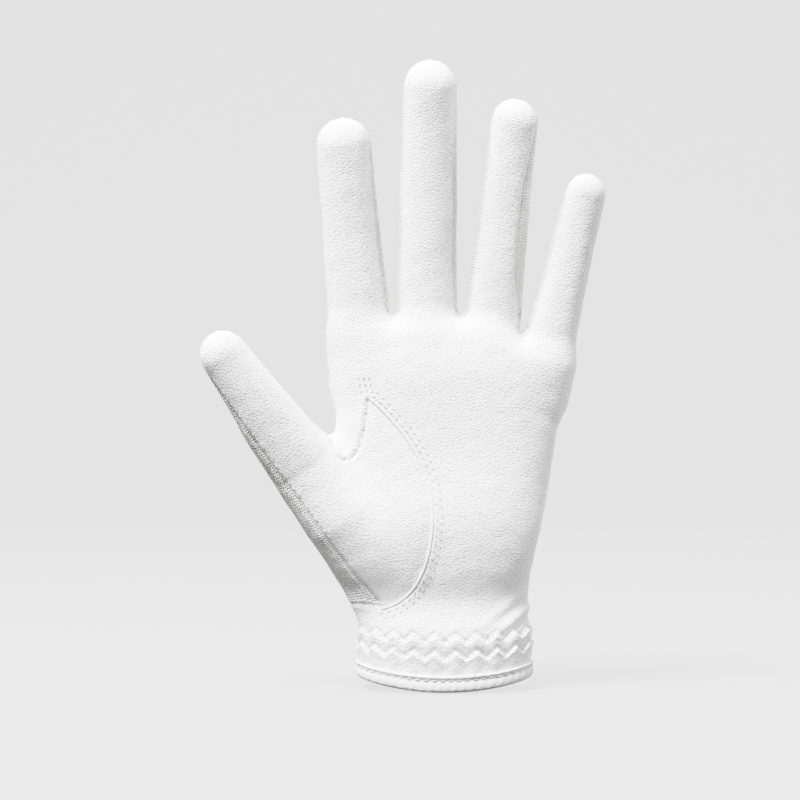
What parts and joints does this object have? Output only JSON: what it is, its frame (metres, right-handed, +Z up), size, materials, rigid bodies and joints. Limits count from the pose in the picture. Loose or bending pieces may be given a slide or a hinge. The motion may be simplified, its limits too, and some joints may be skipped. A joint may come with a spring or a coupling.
{
  "type": "golf glove",
  "caption": "Left-hand golf glove in thin leather with knit side strips, an inset thumb, a shirred cuff and a peel-open wrist tab.",
  "frame": {"origin": "middle of the cuff opening, at the lowest point of the hem", "axes": "+X across the hand to the little finger, -Y the palm side, +Z up to the fingertips"},
  "size_m": [0.1424, 0.0507, 0.2191],
  "materials": {
    "leather": "fine-grained white leather, soft sheen",
    "knit": "fine ribbed stretch knit, matte",
    "thread": "spun sewing thread",
    "binding": "folded leather edge, smooth",
    "elastic": "woven elastic",
    "hook": "moulded hooks on tape",
    "loop": "brushed loop pile"
  },
  "bodies": {
    "root": {"palm_panel": "leather", "back_inner_panel": "leather", "back_outer_panel": "leather", "knuckle_insert": "knit", "back_top_panel": "leather", "thumb_front_base": "leather", "thumb_back_base": "knit", "web_gussets": "knit", "hem_binding": "binding", "hem_thread": "thread", "vent_binding": "binding", "wrist_elastic": "elastic", "shirring_thread": "thread", "thumb_seam_piping": "binding", "thumb_seam_thread": "thread", "outer_thumb_thread": "thread", "bar_tacks": "thread", "loop_patch": "loop", "tab_anchor": "binding"},
    "closure_flap": {"closure_tab": "binding", "hook_patch": "hook", "tab_thread": "thread"},
    "index_lower": {"index_front_lower": "leather", "index_back_lower": "leather", "index_right_gusset_lower": "knit"},
    "index_upper": {"index_front_upper": "leather", "index_back_upper": "leather", "index_right_gusset_upper": "knit"},
    "middle_lower": {"middle_front_lower": "leather", "middle_back_lower": "leather", "middle_right_gusset_lower": "knit", "middle_left_gusset_lower": "knit"},
    "middle_upper": {"middle_front_upper": "leather", "middle_back_upper": "leather", "middle_right_gusset_upper": "knit", "middle_left_gusset_upper": "knit"},
    "ring_lower": {"ring_front_lower": "leather", "ring_back_lower": "leather", "ring_right_gusset_lower": "knit", "ring_left_gusset_lower": "knit"},
    "ring_upper": {"ring_front_upper": "leather", "ring_back_upper": "leather", "ring_right_gusset_upper": "knit", "ring_left_gusset_upper": "knit"},
    "little_lower": {"little_front_lower": "leather", "little_back_lower": "leather", "little_left_gusset_lower": "knit"},
    "little_upper": {"little_front_upper": "leather", "little_back_upper": "leather", "little_left_gusset_upper": "knit"},
    "thumb_lower": {"thumb_front_lower": "leather", "thumb_back_lower": "knit"},
    "thumb_upper": {"thumb_front_upper": "leather", "thumb_back_upper": "knit"}
  },
  "joints": [
    {"name": "index_base_bend", "type": "hinge", "parent": "root", "child": "index_lower", "pos_m": [-0.0303, -0.01052, 0.13144], "axis": [0.9962, 0, 0.0872], "range_deg": [0, 75]},
    {"name": "index_middle_bend", "type": "hinge", "parent": "index_lower", "child": "index_upper", "pos_m": [-0.03298, -0.01437, 0.16213], "axis": [0.9962, 0, 0.0872], "range_deg": [0, 80]},
    {"name": "middle_base_bend", "type": "hinge", "parent": "root", "child": "middle_lower", "pos_m": [-0.00621, -0.01043, 0.13234], "axis": [0.9999, 0, -0.0122], "range_deg": [0, 75]},
    {"name": "middle_middle_bend", "type": "hinge", "parent": "middle_lower", "child": "middle_upper", "pos_m": [-0.00573, -0.01634, 0.17193], "axis": [0.9999, 0, -0.0122], "range_deg": [0, 80]},
    {"name": "ring_base_bend", "type": "hinge", "parent": "root", "child": "ring_lower", "pos_m": [0.01719, -0.00973, 0.13193], "axis": [0.9945, 0, -0.1045], "range_deg": [0, 75]},
    {"name": "ring_middle_bend", "type": "hinge", "parent": "ring_lower", "child": "ring_upper", "pos_m": [0.02074, -0.0141, 0.16574], "axis": [0.9945, 0, -0.1045], "range_deg": [0, 80]},
    {"name": "little_base_bend", "type": "hinge", "parent": "root", "child": "little_lower", "pos_m": [0.03767, -0.00904, 0.12464], "axis": [0.9736, 0, -0.2284], "range_deg": [0, 75]},
    {"name": "little_middle_bend", "type": "hinge", "parent": "little_lower", "child": "little_upper", "pos_m": [0.04364, -0.01155, 0.15006], "axis": [0.9736, 0, -0.2284], "range_deg": [0, 80]},
    {"name": "thumb_base_bend", "type": "hinge", "parent": "root", "child": "thumb_lower", "pos_m": [-0.04875, -0.01923, 0.07679], "axis": [0.8141, 0, 0.5807], "range_deg": [0, 45]},
    {"name": "thumb_middle_bend", "type": "hinge", "parent": "thumb_lower", "child": "thumb_upper", "pos_m": [-0.06383, -0.02461, 0.09792], "axis": [0.8141, 0, 0.5807], "range_deg": [0, 60]},
    {"name": "tab_peel", "type": "hinge", "parent": "root", "child": "closure_flap", "pos_m": [-0.01305, 0.01941, 0.033], "axis": [0, 0, 1], "range_deg": [0, 110]}
  ]
}
